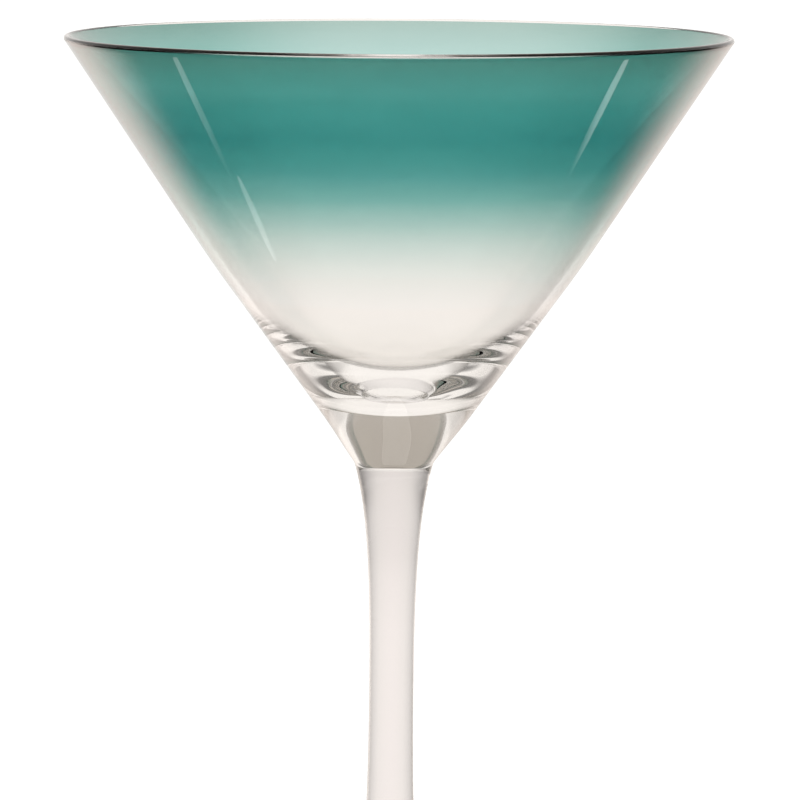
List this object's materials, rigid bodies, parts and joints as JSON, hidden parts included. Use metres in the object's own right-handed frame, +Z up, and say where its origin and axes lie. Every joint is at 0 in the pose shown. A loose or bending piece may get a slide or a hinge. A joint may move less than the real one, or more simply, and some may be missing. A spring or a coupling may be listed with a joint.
{
  "type": "martini glass",
  "caption": "Stemmed cocktail glass with a wide conical bowl, solid tapered base, slim flared stem, round foot and a colour coat fading down from the rim.",
  "frame": {"origin": "centre of the foot's underside, on the surface that the glass stands on", "axes": "+Z up along the glass's axis of rotation; X and Y are level, and the glass is round, so their direction is free"},
  "size_m": [0.116, 0.116, 0.17],
  "materials": {
    "clear_glass": "clear polished soda-lime glass",
    "colour_coat": "transparent sprayed teal lacquer that fades to clear downwards"
  },
  "bodies": {
    "root": {"bowl": "clear_glass", "stem": "clear_glass", "foot": "clear_glass", "tint_coat": "colour_coat"}
  },
  "joints": []
}
